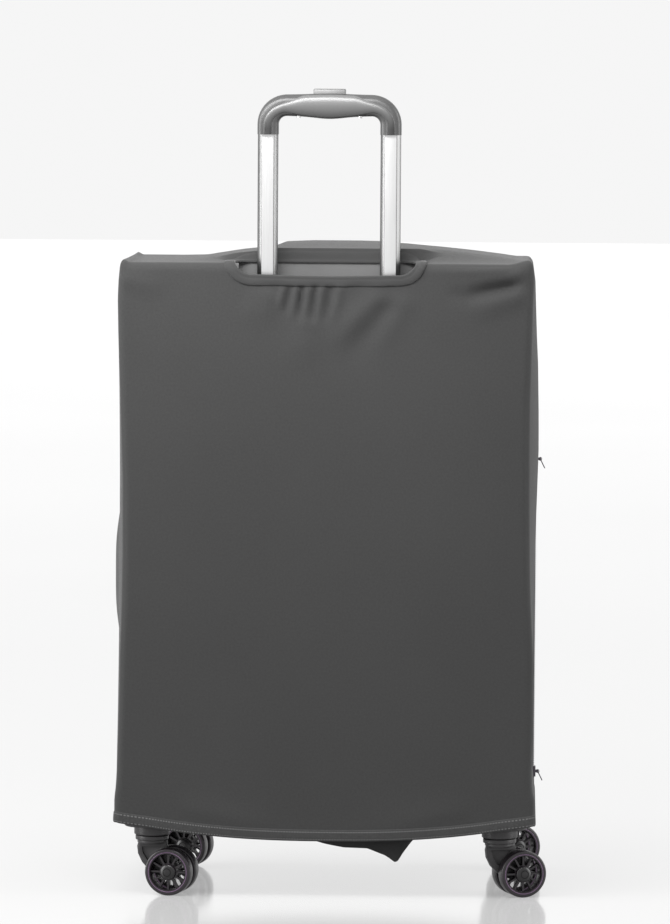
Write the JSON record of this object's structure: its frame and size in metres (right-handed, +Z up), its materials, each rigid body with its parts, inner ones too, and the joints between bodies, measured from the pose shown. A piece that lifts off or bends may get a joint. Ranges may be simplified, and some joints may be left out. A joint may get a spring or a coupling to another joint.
{
  "type": "softside upright suitcase",
  "caption": "Upright softside suitcase in a fitted stretch cover, with a telescopic trolley handle and swivelling twin-wheel casters.",
  "frame": {"origin": "on the floor under the middle of the case", "axes": "+Z up, -Y towards the trolley handle side (the back), +Y towards the lid, +X to the right seen from the back"},
  "size_m": [0.4653, 0.2677, 0.852],
  "materials": {
    "cover_fabric": "stretch knit",
    "black_fabric": "woven",
    "case_fabric": "ballistic weave",
    "lining_fabric": "smooth",
    "zip_tape": "woven",
    "webbing": "woven",
    "black_plastic": "moulded",
    "cup_plastic": "moulded",
    "caster_plastic": "moulded",
    "wheel_plastic": "satin",
    "grip_dark": "satin",
    "grip_silver": "satin",
    "aluminium": "anodised",
    "steel": "plain",
    "slider_metal": "enamelled"
  },
  "bodies": {
    "case": {"back_board": "black_plastic", "caster_housing_back_left": "caster_plastic", "caster_housing_back_right": "caster_plastic", "caster_housing_front_left": "caster_plastic", "caster_housing_front_right": "caster_plastic", "caster_screws": "steel", "cover": "cover_fabric", "cover_binding": "cover_fabric", "cover_flap": "black_fabric", "cover_hem": "cover_fabric", "cover_zip": "black_plastic", "frame_hoop": "steel", "handle_anchors": "black_plastic", "handle_bezel": "cup_plastic", "lid_shell": "case_fabric", "lining": "lining_fabric", "main_zip": "zip_tape", "main_zip_sliders": "slider_metal", "outer_tube_left": "aluminium", "outer_tube_right": "aluminium", "packing_straps": "webbing", "side_carry_handle": "webbing", "strap_buckle": "black_plastic", "top_carry_handle": "webbing", "tray_shell": "case_fabric", "trolley_foot": "black_plastic"},
    "trolley_lower": {"mid_tube_left": "aluminium", "mid_tube_right": "aluminium", "stage_bushes": "black_plastic"},
    "trolley_upper": {"inner_tube_left": "aluminium", "inner_tube_right": "aluminium", "handle_bushes": "black_plastic", "grip_shell_rear": "grip_dark", "grip_shell_front": "grip_silver", "grip_screws": "steel", "button_spring": "steel"},
    "release": {"release_button": "grip_silver", "release_rods": "steel"},
    "lock_pins": {"lock_pins": "steel"},
    "zip_slider_upper": {"zip_slider_upper": "slider_metal"},
    "zip_slider_lower": {"zip_slider_lower": "slider_metal"},
    "zip_pull_upper": {"zip_pull_upper": "slider_metal"},
    "zip_pull_lower": {"zip_pull_lower": "slider_metal"},
    "caster_back_left": {"caster_fork_back_left": "caster_plastic", "caster_axle_back_left": "steel"},
    "wheel_back_left_outer": {"caster_wheel_back_left_outer": "wheel_plastic"},
    "wheel_back_left_inner": {"caster_wheel_back_left_inner": "wheel_plastic"},
    "caster_back_right": {"caster_fork_back_right": "caster_plastic", "caster_axle_back_right": "steel"},
    "wheel_back_right_outer": {"caster_wheel_back_right_outer": "wheel_plastic"},
    "wheel_back_right_inner": {"caster_wheel_back_right_inner": "wheel_plastic"},
    "caster_front_left": {"caster_fork_front_left": "caster_plastic", "caster_axle_front_left": "steel"},
    "wheel_front_left_outer": {"caster_wheel_front_left_outer": "wheel_plastic"},
    "wheel_front_left_inner": {"caster_wheel_front_left_inner": "wheel_plastic"},
    "caster_front_right": {"caster_fork_front_right": "caster_plastic", "caster_axle_front_right": "steel"},
    "wheel_front_right_outer": {"caster_wheel_front_right_outer": "wheel_plastic"},
    "wheel_front_right_inner": {"caster_wheel_front_right_inner": "wheel_plastic"}
  },
  "joints": [
    {"name": "handle_lower_slide", "type": "slide", "parent": "case", "child": "trolley_lower", "axis": [0, 0, 1], "range_m": [0, 0.19]},
    {"name": "handle_upper_slide", "type": "slide", "parent": "trolley_lower", "child": "trolley_upper", "axis": [0, 0, 1], "range_m": [-0.18, 0]},
    {"name": "button_press", "type": "slide", "parent": "trolley_upper", "child": "release", "axis": [0, 0, -1], "range_m": [0, 0.003], "stiffness_N_per_m": 1200, "springref_m": -0.003, "deforming": ["button_spring"]},
    {"name": "lock_pin_retract", "type": "slide", "parent": "trolley_upper", "child": "lock_pins", "axis": [0, -1, 0], "range_m": [0, 0.0018]},
    {"name": "zip_upper_slide", "type": "slide", "parent": "case", "child": "zip_slider_upper", "axis": [0, 0, -1], "range_m": [0, 0.15]},
    {"name": "zip_lower_slide", "type": "slide", "parent": "case", "child": "zip_slider_lower", "axis": [0, 0, 1], "range_m": [0, 0.15]},
    {"name": "zip_pull_upper_swing", "type": "hinge", "parent": "zip_slider_upper", "child": "zip_pull_upper", "pos_m": [0.2246, 0, 0.4585], "axis": [0, -1, 0], "range_deg": [-20, 110]},
    {"name": "zip_pull_lower_swing", "type": "hinge", "parent": "zip_slider_lower", "child": "zip_pull_lower", "pos_m": [0.2246, 0, 0.1215], "axis": [0, -1, 0], "range_deg": [-20, 110]},
    {"name": "caster_back_left_swivel", "type": "hinge", "parent": "case", "child": "caster_back_left", "pos_m": [-0.1845, -0.1, 0.05], "axis": [0, 0, 1], "continuous": true},
    {"name": "wheel_back_left_outer_spin", "type": "hinge", "parent": "caster_back_left", "child": "wheel_back_left_outer", "pos_m": [-0.16554, -0.11567, 0.025], "axis": [0.225, 0.9744, 0], "continuous": true},
    {"name": "wheel_back_left_inner_spin", "type": "hinge", "parent": "caster_back_left", "child": "wheel_back_left_inner", "pos_m": [-0.16059, -0.09423, 0.025], "axis": [0.225, 0.9744, 0], "continuous": true},
    {"name": "caster_back_right_swivel", "type": "hinge", "parent": "case", "child": "caster_back_right", "pos_m": [0.1845, -0.1, 0.05], "axis": [0, 0, 1], "continuous": true},
    {"name": "wheel_back_right_outer_spin", "type": "hinge", "parent": "caster_back_right", "child": "wheel_back_right_outer", "pos_m": [0.20888, -0.10324, 0.025], "axis": [-0.3256, 0.9455, 0], "continuous": true},
    {"name": "wheel_back_right_inner_spin", "type": "hinge", "parent": "caster_back_right", "child": "wheel_back_right_inner", "pos_m": [0.20172, -0.08244, 0.025], "axis": [-0.3256, 0.9455, 0], "continuous": true},
    {"name": "caster_front_left_swivel", "type": "hinge", "parent": "case", "child": "caster_front_left", "pos_m": [-0.179, 0.1, 0.05], "axis": [0, 0, 1], "continuous": true},
    {"name": "wheel_front_left_outer_spin", "type": "hinge", "parent": "caster_front_left", "child": "wheel_front_left_outer", "pos_m": [-0.16032, 0.084, 0.025], "axis": [0.2419, 0.9703, 0], "continuous": true},
    {"name": "wheel_front_left_inner_spin", "type": "hinge", "parent": "caster_front_left", "child": "wheel_front_left_inner", "pos_m": [-0.15499, 0.10535, 0.025], "axis": [0.2419, 0.9703, 0], "continuous": true},
    {"name": "caster_front_right_swivel", "type": "hinge", "parent": "case", "child": "caster_front_right", "pos_m": [0.179, 0.1, 0.05], "axis": [0, 0, 1], "continuous": true},
    {"name": "wheel_front_right_outer_spin", "type": "hinge", "parent": "caster_front_right", "child": "wheel_front_right_outer", "pos_m": [0.20357, 0.0989, 0.025], "axis": [-0.4067, 0.9135, 0], "continuous": true},
    {"name": "wheel_front_right_inner_spin", "type": "hinge", "parent": "caster_front_right", "child": "wheel_front_right_inner", "pos_m": [0.19462, 0.119, 0.025], "axis": [-0.4067, 0.9135, 0], "continuous": true}
  ],
  "couplings": [
    {"joint": "lock_pin_retract", "follows": "button_press", "ratio": 0.6}
  ]
}
